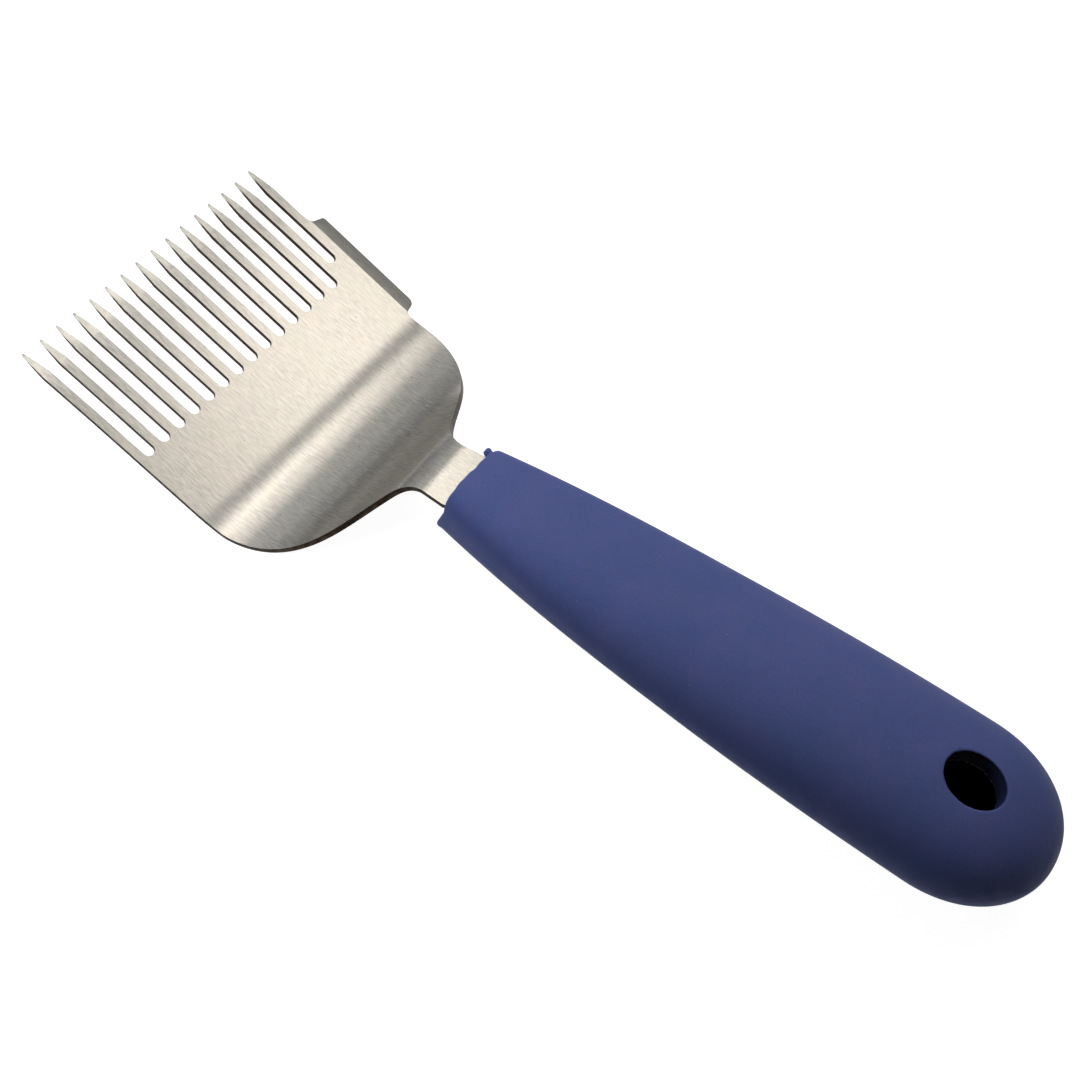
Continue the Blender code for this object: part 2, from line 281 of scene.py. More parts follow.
def comb_edge():
    points = []
    for tine in range(TINE_COUNT):
        middle = (tine - (TINE_COUNT - 1) / 2) * TINE_PITCH
        points += tine_tip(middle)
        if tine < TINE_COUNT - 2:
            points += slot_round(middle + TINE_PITCH / 2, SLOT_END)
        elif tine < TINE_COUNT - 1:
            points += slot_round(middle + TINE_PITCH / 2, LAST_SLOT_END)
    return points


def corner(start, knee, end, steps):
    first = tuple(a + (b - a) * CORNER_PULL for a, b in zip(start, knee))
    second = tuple(a + (b - a) * CORNER_PULL for a, b in zip(end, knee))
    return bezier(start, first, second, end, steps)


def scraper_edge():
    side = TINE_COUNT / 2 * TINE_PITCH - (TINE_PITCH - TINE_WIDTH) / 2
    front = SCRAPER_START + SCRAPER_LEAN
    rear = SCRAPER_END - SCRAPER_LEAN
    front_fillet = bezier((FILLET_START, side),
                          (SCRAPER_START - SCRAPER_LEAN, side),
                          (SCRAPER_START - SCRAPER_LEAN, BEVEL_START),
                          (SCRAPER_START, BEVEL_START + FRONT_FILLET),
                          FRONT_FILLET_STEPS)
    front_corner = corner((front, SCRAPER_EDGE - FRONT_CORNER),
                          (front, SCRAPER_EDGE),
                          (front + FRONT_CORNER, SCRAPER_EDGE),
                          FRONT_CORNER_STEPS)
    rear_corner = corner((rear - REAR_CORNER, SCRAPER_EDGE),
                         (rear, SCRAPER_EDGE),
                         (rear, SCRAPER_EDGE - REAR_CORNER),
                         REAR_CORNER_STEPS)
    rear_fillet = corner((SCRAPER_END, PLATE_HALF_WIDTH + REAR_FILLET / 2),
                         (SCRAPER_END, PLATE_HALF_WIDTH),
                         (SCRAPER_END + REAR_FILLET, PLATE_HALF_WIDTH),
                         REAR_FILLET_STEPS)
    return front_fillet + front_corner + rear_corner + rear_fillet


def shoulder_edge():
    flank = (FLANK_ALONG, FLANK_HALF_WIDTH)
    run = Vector((math.cos(FLANK_SLOPE), -math.sin(FLANK_SLOPE)))
    before = Vector(flank) - run * FLANK_REACH
    after = Vector(flank) + run * FLANK_REACH
    shoulder = bezier((SHOULDER_START, PLATE_HALF_WIDTH),
                      (SHOULDER_START + SHOULDER_REACH, PLATE_HALF_WIDTH),
                      before, flank, SHOULDER_STEPS)
    waist = bezier(flank, after,
                   (WAIST_ALONG - WAIST_REACH, WAIST_HALF_WIDTH),
                   (WAIST_ALONG, WAIST_HALF_WIDTH), WAIST_STEPS)
    return shoulder + waist[1:]


def tang_edge():
    centre = (TANG_END - TANG_CORNER, TANG_HALF_WIDTH - TANG_CORNER)
    end_corner = arc(centre, TANG_CORNER, 90, 0, TANG_CORNER_STEPS)
    return [(NECK_END, NECK_HALF_WIDTH), (TANG_SHOULDER, TANG_HALF_WIDTH)] + end_corner


def blade_outline():
    right = shoulder_edge() + tang_edge()
    left = [(along, -across) for along, across in reversed(right)]
    points = comb_edge() + scraper_edge() + right + left
    points.append((PLATE_SIDE_START, -PLATE_HALF_WIDTH))
    kept = [points[0]]
    for point in points[1:]:
        if math.dist(point, kept[-1]) > CLOSEST_POINTS:
            kept.append(point)
    return np.array(kept)


# The bent sheet.

def sheet_slope(along):
    slope = np.zeros_like(along)
    for start, end, reached, fade, softness in BENDS:
        part = np.clip((along - start) / (end - start), 0.0, 1.0)
        if fade:
            share = 1 - (1 - part * part / (part + softness * (1 - part))) ** fade
        else:
            share = part * part * (3 - 2 * part)
        slope = slope + (reached - slope) * share
    return slope


STATIONS = np.arange(0.0, TANG_END + 2.0, PROFILE_STEP)
MIDDLES = sheet_slope(STATIONS[:-1] + PROFILE_STEP / 2)
PROFILE_X = np.concatenate(([0.0], np.cumsum(np.cos(MIDDLES)) * PROFILE_STEP))
PROFILE_Z = np.concatenate(([0.0], np.cumsum(np.sin(MIDDLES)) * PROFILE_STEP))


def on_sheet(along):
    """The x, z and slope of the sheet's top face at distances along it."""
    before = np.minimum(along, 0.0)
    x = np.interp(along, STATIONS, PROFILE_X) + before
    z = np.interp(along, STATIONS, PROFILE_Z)
    return x, z, sheet_slope(along)


def tine_offsets():
    """A small sideways and upward stray for each tine's tip."""
    draw = np.random.RandomState(STRAY_SEED)
    place = np.linspace(-1.0, 1.0, TINE_COUNT)
    sway = draw.uniform(-TINE_SWAY, TINE_SWAY, TINE_COUNT) + TINE_BOW * (1 - 2 * place ** 2)
    lift = draw.uniform(-TINE_LIFT, TINE_LIFT, TINE_COUNT)
    return sway, lift


SWAY, LIFT = tine_offsets()


def bend(flat):
    """Takes points of the flat sheet (along, across, depth below the top face) to their place."""
    along, across, depth = flat[:, 0].copy(), flat[:, 1].copy(), flat[:, 2].copy()
    # Points are ground thinner from both faces.
    share = np.clip(1 - along / TINE_POINT_LENGTH, 0.0, 1.0)
    top = POINT_TOP_DROP * share ** POINT_TOP_CURVE
    bottom = SHEET - POINT_BOTTOM_RISE * share ** POINT_BOTTOM_CURVE
    depth = top + (bottom - top) * depth / SHEET
    # The scraper's top face is ground down to an edge.
    on_bevel = np.clip((across - BEVEL_START) / (SCRAPER_EDGE - BEVEL_START), 0.0, 1.0)
    depth = SHEET - (SHEET - depth) * (1 - on_bevel * (1 - BEVEL_EDGE / SHEET))
    # Tines stray a little.
    tine = np.clip(np.round(across / TINE_PITCH + (TINE_COUNT - 1) / 2), 0, TINE_COUNT - 1).astype(int)
    free = np.clip(1 - along / LAST_SLOT_END, 0.0, 1.0) ** 2
    across = across + SWAY[tine] * free
    raised = LIFT[tine] * free
    # The two shoulders are not quite alike.
    lean = np.clip((along - LEAN_START) / (LEAN_END - LEAN_START), 0.0, 1.0)
    across = across + SHOULDER_LEAN * np.sin(2 * math.pi * lean)
    rise = raised - depth
    x, z, slope = on_sheet(along)
    return np.stack((x - rise * np.sin(slope), across, z + rise * np.cos(slope)), axis=1)


def inward(points):
    """Unit-offset directions into an outline that runs with its inside on one side."""
    before = points - np.roll(points, 1, axis=0)
    after = np.roll(points, -1, axis=0) - points
    before /= np.linalg.norm(before, axis=1, keepdims=True)
    after /= np.linalg.norm(after, axis=1, keepdims=True)
    area = np.sum(points[:, 0] * np.roll(points[:, 1], -1) - points[:, 1] * np.roll(points[:, 0], -1))
    side = 1.0 if area > 0 else -1.0
    normal_before = np.stack((-before[:, 1], before[:, 0]), axis=1) * side
    normal_after = np.stack((-after[:, 1], after[:, 0]), axis=1) * side
    middle = normal_before + normal_after
    length = np.linalg.norm(middle, axis=1, keepdims=True)
    middle /= np.maximum(length, 1e-6)
    lean = np.maximum(np.sum(middle * normal_after, axis=1, keepdims=True), MITRE_LIMIT)
    return middle / lean


def rounding(points):
    """How far each outline point's edge may be rounded: less towards the thin tips."""
    share = np.clip(points[:, 0] / TINE_POINT_LENGTH, 0.0, 1.0)
    width = TINE_TIP_WIDTH + (TINE_WIDTH - TINE_TIP_WIDTH) * share ** TINE_POINT_SWELL
    return np.minimum(1.0, ROUND_SHARE * width / TOP_ROUND)


def blade_stations():
    stations = list(np.arange(TINE_STATION_STEP, TINE_STATIONS_END, TINE_STATION_STEP))
    stations += POINT_STATIONS
    before = 0.0
    for start, end, reached, _, _ in BENDS:
        count = max(FEWEST_BEND_STEPS, math.ceil(abs(reached - before) / BEND_STEP))
        stations += [start + (end - start) * step / count for step in range(count + 1)]
        before = reached
    return stations


def divide(bm, place, normal):
    everything = bm.verts[:] + bm.edges[:] + bm.faces[:]
    bmesh.ops.bisect_plane(bm, geom=everything, plane_co=place, plane_no=normal, dist=DIVIDE_REACH)


def flat_blade():
    """The flat sheet as a closed body, with rounded edges and an attribute for its cut edge."""
    outline = blade_outline()
    offset = inward(outline)
    amount = rounding(outline)[:, None]
    levels = []
    for step in range(ROUND_STEPS + 1):
        cut = step / ROUND_STEPS
        angle = cut * math.pi / 2
        inset = TOP_ROUND * (1 - math.sin(angle))
        depth = TOP_ROUND * (1 - math.cos(angle))
        levels.append((inset, depth, cut))
    levels.append((0.0, SHEET - BOTTOM_ROUND, 1.0))
    levels.append((BOTTOM_ROUND, SHEET, 1.0))
    bm = bmesh.new()
    edge = bm.verts.layers.float.new("edge")
    rings = []
    for inset, depth, cut in levels:
        moved = outline + offset * inset * amount
        ring = []
        for number, point in enumerate(moved):
            deep = depth * amount[number, 0] if depth < SHEET / 2 else depth
            vert = bm.verts.new((point[0], point[1], deep))
            vert[edge] = cut
            ring.append(vert)
        rings.append(ring)
    count = len(outline)
    for upper, lower in zip(rings, rings[1:]):
        for number in range(count):
            after = (number + 1) % count
            bm.faces.new((upper[number], upper[after], lower[after], lower[number]))
    bm.faces.new(rings[0])
    bm.faces.new(rings[-1])
    for station in blade_stations():
        divide(bm, (station, 0, 0), (1, 0, 0))
    divide(bm, (0, BEVEL_START, 0), (0, 1, 0))
    return bm


def put_in_place(points):
    """Takes bent sheet points to the scene: the tang level, its top face meeting the handle."""
    x, z, _ = on_sheet(np.array([MOUTH_ON_BLADE]))
    cosine, sine = math.cos(HANDLE_SLOPE), math.sin(HANDLE_SLOPE)
    dx = points[:, 0] - x[0]
    dz = points[:, 2] - z[0]
    along = dx * cosine + dz * sine
    up = -dx * sine + dz * cosine + NECK_ABOVE_AXIS
    placed = np.stack((along, points[:, 1], up), axis=1)
    return placed * MM + np.array(MOUTH_PLACE)


def cut_anchor_holes(blade):
    """Cuts the holes of the tang through the flat sheet."""
    cutters = []
    for along in ANCHORS:
        bm = bmesh.new()
        bmesh.ops.create_cone(bm, cap_ends=True, segments=ANCHOR_SEGMENTS,
                              radius1=ANCHOR_RADIUS, radius2=ANCHOR_RADIUS, depth=4 * SHEET,
                              matrix=Matrix.Translation((along, 0, SHEET / 2)))
        mesh = bpy.data.meshes.new("anchor_cutter")
        bm.to_mesh(mesh)
        bm.free()
        cutter = bpy.data.objects.new("anchor_cutter", mesh)
        bpy.context.scene.collection.objects.link(cutter)
        boolean = blade.modifiers.new("anchor", "BOOLEAN")
        boolean.solver = "EXACT"
        boolean.object = cutter
        cutters.append(cutter)
    graph = bpy.context.evaluated_depsgraph_get()
    mesh = bpy.data.meshes.new_from_object(blade.evaluated_get(graph))
    blade.modifiers.clear()
    blade.data = mesh
    for cutter in cutters:
        bpy.data.objects.remove(cutter, do_unlink=True)


def set_attribute(mesh, name, kind, values):
    """Stores one number or one direction for each vertex."""
    field = "vector" if kind == "FLOAT_VECTOR" else "value"
    mesh.attributes.new(name, kind, "POINT").data.foreach_set(field, values.ravel())


def make_blade(material):
    bm = flat_blade()
    bmesh.ops.recalc_face_normals(bm, faces=bm.faces)
    mesh = bpy.data.meshes.new("blade_sheet")
    bm.to_mesh(mesh)
    bm.free()
    blade = bpy.data.objects.new("blade_sheet", mesh)
    bpy.context.scene.collection.objects.link(blade)
    cut_anchor_holes(blade)
    mesh = blade.data
    mesh.name = "blade_sheet"
    flat = np.array([vert.co[:] for vert in mesh.vertices])
    placed = put_in_place(bend(flat))
    mesh.vertices.foreach_set("co", placed.ravel())
    mesh.update()
    edge = np.zeros(len(flat))
    mesh.attributes["edge"].data.foreach_get("value", edge)
    edge *= np.clip((flat[:, 0] - RIM_FADE_START) / RIM_FADE_LENGTH, 0.0, 1.0)
    mesh.attributes["edge"].data.foreach_set("value", edge)
    point = flat[:, 0] < TINE_POINT_LENGTH - POINT_MARGIN
    bevel = (flat[:, 1] > BEVEL_START + BEVEL_MARGIN) & (flat[:, 2] < SHEET / 2)
    set_attribute(mesh, "flat", "FLOAT_VECTOR", flat * MM)
    set_attribute(mesh, "ground", "FLOAT", (point | bevel).astype(float))
    mesh.shade_smooth()
    crisp = (np.abs(flat[:, 1] - BEVEL_START) < BEVEL_MARGIN / 2) & (flat[:, 2] < SHEET / 2)
    ends = np.array([line.vertices[:] for line in mesh.edges])
    sharp = mesh.attributes.new("sharp_edge", "BOOLEAN", "EDGE")
    sharp.data.foreach_set("value", crisp[ends].all(axis=1))
    mesh.materials.clear()
    mesh.materials.append(material)
    # Which way the brushed surface scatters light: across the brushing.
    normals = np.array([vert.normal[:] for vert in mesh.vertices])
    slope = sheet_slope(flat[:, 0]) - HANDLE_SLOPE
    brushed = np.stack((np.cos(slope), np.zeros_like(slope), np.sin(slope)), axis=1)
    scatter = np.cross(normals, brushed) + np.array((0.0, SCATTER_LEAN, 0.0))
    set_attribute(mesh, "brush", "FLOAT_VECTOR", scatter)
    even = blade.modifiers.new("even_normals", "WEIGHTED_NORMAL")
    even.mode = "FACE_AREA"
    even.weight = 80
    even.keep_sharp = True
    return blade


# The handle as a field of distances, negative inside.

def half_width(x):
    share = np.clip(x / DOME_START, 0.0, 1.0)
    return BUTT_HALF_WIDTH - (BUTT_HALF_WIDTH - MOUTH_HALF_WIDTH) * (1 - share) ** WIDTH_SWELL


def half_height(x):
    share = np.clip(x / DOME_START, 0.0, 1.0)
    swell = np.sin(math.pi / 2 * share ** HEIGHT_SWELL) ** 2
    return MOUTH_HALF_HEIGHT + (BUTT_HALF_HEIGHT - MOUTH_HALF_HEIGHT) * swell


def squareness(x):
    boxy = np.clip(1 - x / SQUARE_LENGTH, 0.0, 1.0) ** SQUARE_FADE
    return BUTT_SQUARENESS + (MOUTH_SQUARENESS - BUTT_SQUARENESS) * boxy


def smooth_max(a, b, radius):
    near = np.maximum(radius - np.abs(a - b), 0.0) / radius
    return np.maximum(a, b) + near * near * radius / 4


def smooth_min(a, b, radius):
    return -smooth_max(-a, -b, radius)


def oval(x, y, z, inset):
    """Roughly the distance to the handle's outer form, made smaller all round by the inset."""
    wide = half_width(x) - inset
    high = half_height(x) - inset
    power = squareness(x)
    reach = ((np.abs(y) / wide) ** power + (np.abs(z) / high) ** power + 1e-12) ** (1 / power)
    past = np.maximum(x - DOME_START, 0.0) / (HANDLE_LENGTH - inset - DOME_START)
    value = (reach ** DOME_POWER + past ** DOME_POWER) ** (1 / DOME_POWER) - 1
    rate = np.sqrt((y / wide ** 2) ** 2 + (z / high ** 2) ** 2 + (past / (HANDLE_LENGTH - DOME_START)) ** 2)
    return value / np.maximum(rate / np.maximum(value + 1, 0.2), 1 / wide)


def box(x, y, z, low, high):
    away = [np.maximum(low[axis] - value, value - high[axis])
            for axis, value in enumerate((x, y, z))]
    return np.maximum(np.maximum(away[0], away[1]), away[2])


def from_hole(x, y):
    """Distance from the hole's axis; the hole is slightly longer than it is wide."""
    return np.hypot((x - HOLE_ALONG) / HOLE_LONG, y / HOLE_WIDE)


def hole(x, y, radius):
    return from_hole(x, y) - radius


def collar(x, y, z, grow):
    """The grip's turned-in lip round the hole."""
    outside = hole(x, y, HOLE_RADIUS + COLLAR_WIDTH + grow)
    return np.maximum(outside, COLLAR_DEEP_AT - grow - np.abs(z))


def ripple(value, height, rate, phase):
    return height * np.sin(value * rate + phase)


def mouth_edge(y, z):
    """How far behind the mouth's plane the skin ends: it sags forward below the neck."""
    wave = sum(ripple(y, *wave) for wave in MOUTH_WAVES)
    slant = SLANT_START + SLANT * (y + NECK_HALF_WIDTH)
    low = np.clip((SAG_TOP - z) / SAG_HEIGHT, 0.0, 1.0)
    sag = -SAG * low * np.clip((SAG_SIDE - y) / SAG_WIDTH, 0.0, 1.0)
    beside = np.clip((y - MOUTH_SHOULDER_AT) / MOUTH_SHOULDER_REACH, 0.0, 1.0)
    return wave + slant + sag + MOUTH_SHOULDER * beside ** 2


def flash(x, y, z):
    """The lump of moulding flash beside the neck."""
    ragged = ripple(x, *FLASH_ALONG) + ripple(z, *FLASH_UP)
    away = [(value - middle) / size
            for value, middle, size in zip((x, y, z), FLASH_PLACE, FLASH_SIZE)]
    reach = away[0] ** 2 + away[1] ** 2 + away[2] ** 2
    return (np.sqrt(reach) - 1 + ragged) * FLASH_STEEPNESS


def grip_field(x, y, z):
    outer = smooth_max(oval(x, y, z, 0.0), mouth_edge(y, z) - x, MOUTH_ROUND)
    outer = smooth_min(outer, flash(x, y, z), GRIP_ROUND)
    outer = smooth_max(outer, -hole(x, y, HOLE_RADIUS + GRIP_HOLE_STEP), GRIP_ROUND)
    slot_low = (-SLOT_AHEAD, -NECK_HALF_WIDTH - SLOT_SIDE_GAP, NECK_ABOVE_AXIS - SHEET - SLOT_FACE_GAP)
    slot_high = (SLOT_DEEP, NECK_HALF_WIDTH + SLOT_SIDE_GAP, NECK_ABOVE_AXIS + SLOT_FACE_GAP)
    outer = smooth_max(outer, -box(x, y, z, slot_low, slot_high), GRIP_ROUND)
    hollow = np.maximum(oval(x, y, z, SKIN), SKIN - x)
    hollow = np.maximum(hollow, -collar(x, y, z, 0.0))
    return np.maximum(outer, -hollow)


def core_field(x, y, z):
    inset = SKIN + GAP
    outer = smooth_max(oval(x, y, z, inset), inset - x, CORE_MOUTH_ROUND)
    outer = smooth_max(outer, -hole(x, y, HOLE_RADIUS), CORE_HOLE_ROUND)
    outer = np.maximum(outer, -collar(x, y, z, GAP))
    reach = TANG_END - MOUTH_ON_BLADE
    slot_low = (-SLOT_AHEAD, -NECK_HALF_WIDTH - GAP, NECK_ABOVE_AXIS - SHEET - GAP)
    slot_high = (reach + GAP, NECK_HALF_WIDTH + GAP, NECK_ABOVE_AXIS + GAP)
    slot = box(x, y, z, slot_low, slot_high)
    for along in ANCHORS:
        pin = ANCHOR_RADIUS - GAP - np.sqrt((x - (along - MOUTH_ON_BLADE)) ** 2 + y ** 2)
        slot = np.maximum(slot, pin)
    return np.maximum(outer, -slot)


def spaced(*runs):
    """Positions in runs of (start, end, step)."""
    values = [np.linspace(start, end, round((end - start) / step), endpoint=False)
              for start, end, step in runs]
    return np.concatenate(values + [[runs[-1][1]]])


def neighbours(axis):
    """Indices that pair each grid point with the next one along an axis."""
    low = [slice(None)] * 3
    high = [slice(None)] * 3
    low[axis] = slice(None, -1)
    high[axis] = slice(1, None)
    return tuple(low), tuple(high)


def crossings(values, axes, axis):
    """Which grid edges along an axis cross the surface, and the points where they do."""
    low, high = neighbours(axis)
    first, second = values[low], values[high]
    crossed = (first < 0) != (second < 0)
    part = np.where(crossed, first / np.where(crossed, first - second, 1.0), 0.0)
    place = [coordinate[low].copy() for coordinate in np.meshgrid(*axes, indexing="ij")]
    lengths = [1, 1, 1]
    lengths[axis] = -1
    place[axis] = place[axis] + part * np.diff(axes[axis]).reshape(lengths)
    return crossed, place


def cell_points(values, axes):
    """One point in each crossed cell, the mean of its edges' crossings, and the cells' numbers."""
    shape = np.array(values.shape) - 1
    total = np.zeros((*shape, 3))
    count = np.zeros(shape)
    for axis in range(3):
        crossed, place = crossings(values, axes, axis)
        across, beyond = [other for other in range(3) if other != axis]
        for one in (0, 1):
            for two in (0, 1):
                pick = [slice(None)] * 3
                pick[across] = slice(one, one + shape[across])
                pick[beyond] = slice(two, two + shape[beyond])
                pick = tuple(pick)
                mask = crossed[pick]
                count += mask
                for coordinate in range(3):
                    total[..., coordinate] += np.where(mask, place[coordinate][pick], 0.0)
    used = count > 0
    number = np.full(shape, -1)
    number[used] = np.arange(used.sum())
    return total[used] / count[used][:, None], number


def cell_quads(inside, number, axis):
    """A quad round each crossed grid edge along an axis, through the four cells beside it."""
    low, high = neighbours(axis)
    across, beyond = [other for other in range(3) if other != axis]
    trim = [slice(None)] * 3
    trim[across] = slice(1, -1)
    trim[beyond] = slice(1, -1)
    trim = tuple(trim)
    starts = inside[low][trim]
    crossed = starts != inside[high][trim]
    at = np.argwhere(crossed)
    corners = []
    for one, two in ((0, 0), (1, 0), (1, 1), (0, 1)):
        cell = at.copy()
        cell[:, across] += one
        cell[:, beyond] += two
        corners.append(number[cell[:, 0], cell[:, 1], cell[:, 2]])
    quads = np.stack(corners, axis=1)
    outward = starts[crossed] if axis != 1 else ~starts[crossed]
    quads[~outward] = quads[~outward][:, ::-1]
    return quads


def surface_net(field, xs, ys, zs):
    """A closed mesh of quads on the field's zero surface, one vertex in each crossed cell."""
    axes = (xs, ys, zs)
    values = field(*np.meshgrid(*axes, indexing="ij"))
    points, number = cell_points(values, axes)
    quads = [cell_quads(values < 0, number, axis) for axis in range(3)]
    return points, np.concatenate(quads)


def field_slope(field, points):
    slope = np.zeros_like(points)
    for axis in range(3):
        ahead = points.copy()
        behind = points.copy()
        ahead[:, axis] += SLOPE_STEP
        behind[:, axis] -= SLOPE_STEP
        slope[:, axis] = (field(*ahead.T) - field(*behind.T)) / (2 * SLOPE_STEP)
    return slope


def settle(field, points):
    """Moves the points onto the field's zero surface."""
    for _ in range(SETTLE_ROUNDS):
        slope = field_slope(field, points)
        size = np.maximum(np.sum(slope * slope, axis=1), FLATTEST_SLOPE)
        move = -(field(*points.T) / size)[:, None] * slope
        length = np.linalg.norm(move, axis=1, keepdims=True)
        points = points + move * np.minimum(1.0, LONGEST_MOVE / np.maximum(length, 1e-9))
    return points


def painted_hole_shade(field, points):
    """How much shade is painted at each point: 1 on the hanging hole's wall, a little less on its far side,
    where light reaches, and 0 elsewhere.
    """
    facing = field_slope(field, points)
    upright = np.abs(facing[:, 2]) / np.linalg.norm(facing, axis=1)
    near = from_hole(points[:, 0], points[:, 1]) < HOLE_RADIUS + WALL_REACH
    wall = np.clip((WALL_UPRIGHT - upright) / WALL_FADE, 0.0, 1.0) * near
    far = np.clip((points[:, 0] - HOLE_ALONG) / FAR_WALL_REACH, 0.0, 1.0)
    return wall * (1 - FAR_WALL_LIGHTER * far)


def make_from_field(name, field, xs, ys, zs, material):
    points, quads = surface_net(field, xs, ys, zs)
    points = settle(field, points)
    mesh = bpy.data.meshes.new(name)
    mesh.from_pydata((points * MM + np.array(MOUTH_PLACE)).tolist(), [], quads.tolist())
    set_attribute(mesh, "painted_hole_shade", "FLOAT", painted_hole_shade(field, points))
    mesh.materials.append(material)
    mesh.shade_smooth()
    mesh.validate()
    thing = bpy.data.objects.new(name, mesh)
    bpy.context.scene.collection.objects.link(thing)
    return thing


def shade_hole(grip, material):
    """Gives the faces of the hole's wall a second material, a copy of the rubber without sheen and with
    little specular, as painted shade.
    """
    grip.data.materials.append(material)
    marks = grip.data.attributes["painted_hole_shade"].data
    in_hole = np.array([mark.value for mark in marks]) > IN_HOLE
    slots = [int(in_hole[face.vertices].all()) for face in grip.data.polygons]
    grip.data.polygons.foreach_set("material_index", slots)


# Materials. Noise scales are in cells for each metre along, across and through the sheet.

STEEL_DULL = (0.56, 0.545, 0.52)
STEEL_BRIGHT = (0.88, 0.865, 0.83)
STEEL_FINE = (0.60, 0.585, 0.55)
STEEL_GREENISH = (0.70, 0.72, 0.63)
STEEL_ROSY = (0.83, 0.765, 0.705)
STEEL_SPECK = (0.30, 0.26, 0.20)
# Ground points and bevel: darker and greyer, partly their ground finish and partly painted shade of the
# bevel's tilted facet.
GROUND_AND_SHADE_DARK = (0.41, 0.415, 0.39)
GROUND_AND_SHADE_PALE = (0.55, 0.555, 0.52)
# Sheared edges: near black, partly their rough cut face and partly painted shade on the thin walls.
SHEARED_AND_SHADE_DARK = (0.020, 0.014, 0.010)
SHEARED_AND_SHADE_PALE = (0.075, 0.055, 0.038)
STREAK_SCALE = (430, 3000, 900)
FINE_SCALE = (240, 9000, 3000)
BROAD_SCALE = (60, 160, 100)
BLOTCH_SCALE = (500, 700, 700)
SPECK_SCALE = (900, 1300, 900)
ROSY_SCALE = (170, 330, 200)

RUBBER_BASE = (0.100, 0.148, 0.430)
RUBBER_VIOLET = (0.132, 0.160, 0.450)
RUBBER_BRIGHT = (0.108, 0.168, 0.500)
RUBBER_PIT = (0.078, 0.110, 0.340)
RUBBER_DUST = (0.35, 0.37, 0.50)
# Painted shade: the near-black colour given to the hanging hole's wall.
RUBBER_SHADED = (0.004, 0.005, 0.016)
RUBBER_SHEEN_TINT = (1.0, 0.95, 0.85, 1.0)
# The core's black, below that of black plastic: partly its own colour and partly painted shade deep in the
# hanging hole.
PLASTIC_AND_SHADE_DARK = (0.0006, 0.0006, 0.0008)
PLASTIC_AND_SHADE_PALE = (0.0015, 0.0015, 0.002)
FLOOR_DARK = (0.45, 0.45, 0.45)
FLOOR_PALE = (0.47, 0.47, 0.47)
FLOOR_HALF_SIZE = 3.0
FLOOR_DROP = 0.0002


class Nodes:
    """A small helper that adds nodes to a material and links them."""

    def __init__(self, name):
        self.material = bpy.data.materials.new(name)
        self.material.use_nodes = True
        self.tree = self.material.node_tree
        self.shader = self.tree.nodes["Principled BSDF"]

    def add(self, kind, **settings):
        node = self.tree.nodes.new(kind)
        for key, value in settings.items():
            setattr(node, key, value)
        return node

    def link(self, source, target):
        self.tree.links.new(source, target)

    def place(self, source, scale):
        node = self.add("ShaderNodeMapping")
        node.inputs["Scale"].default_value = scale
        self.link(source, node.inputs["Vector"])
        return node.outputs["Vector"]

    def noise(self, source, scale, detail=2.0, rough=0.5, distortion=0.0):
        node = self.add("ShaderNodeTexNoise")
        node.inputs["Scale"].default_value = scale
        node.inputs["Detail"].default_value = detail
        node.inputs["Roughness"].default_value = rough
        node.inputs["Distortion"].default_value = distortion
        self.link(source, node.inputs["Vector"])
        return node.outputs["Fac"]

    def spread(self, source, low, high, to_low=0.0, to_high=1.0):
        node = self.add("ShaderNodeMapRange")
        node.inputs["From Min"].default_value = low
        node.inputs["From Max"].default_value = high
        node.inputs["To Min"].default_value = to_low
        node.inputs["To Max"].default_value = to_high
        self.link(source, node.inputs["Value"])
        return node.outputs["Result"]

    def mix(self, share, first, second):
        node = self.add("ShaderNodeMix", data_type="RGBA")
        for socket, value in ((node.inputs[0], share), (node.inputs[6], first), (node.inputs[7], second)):
            if isinstance(value, bpy.types.NodeSocket):
                self.link(value, socket)
            elif isinstance(value, tuple):
                socket.default_value = (*value, 1.0)
            else:
                socket.default_value = value
        return node.outputs[2]

    def math(self, operation, first, second=0.0):
        node = self.add("ShaderNodeMath", operation=operation)
        for socket, value in zip(node.inputs, (first, second)):
            if isinstance(value, bpy.types.NodeSocket):
                self.link(value, socket)
            else:
                socket.default_value = value
        return node.outputs[0]

    def attribute(self, name, output="Fac"):
        return self.add("ShaderNodeAttribute", attribute_name=name).outputs[output]

    def bump(self, height, strength, distance, after=None):
        node = self.add("ShaderNodeBump")
        node.inputs["Strength"].default_value = strength
        node.inputs["Distance"].default_value = distance
        self.link(height, node.inputs["Height"])
        if after is not None:
            self.link(after, node.inputs["Normal"])
        return node.outputs["Normal"]

    def set(self, socket, value):
        if isinstance(value, bpy.types.NodeSocket):
            self.link(value, self.shader.inputs[socket])
        else:
            self.shader.inputs[socket].default_value = value


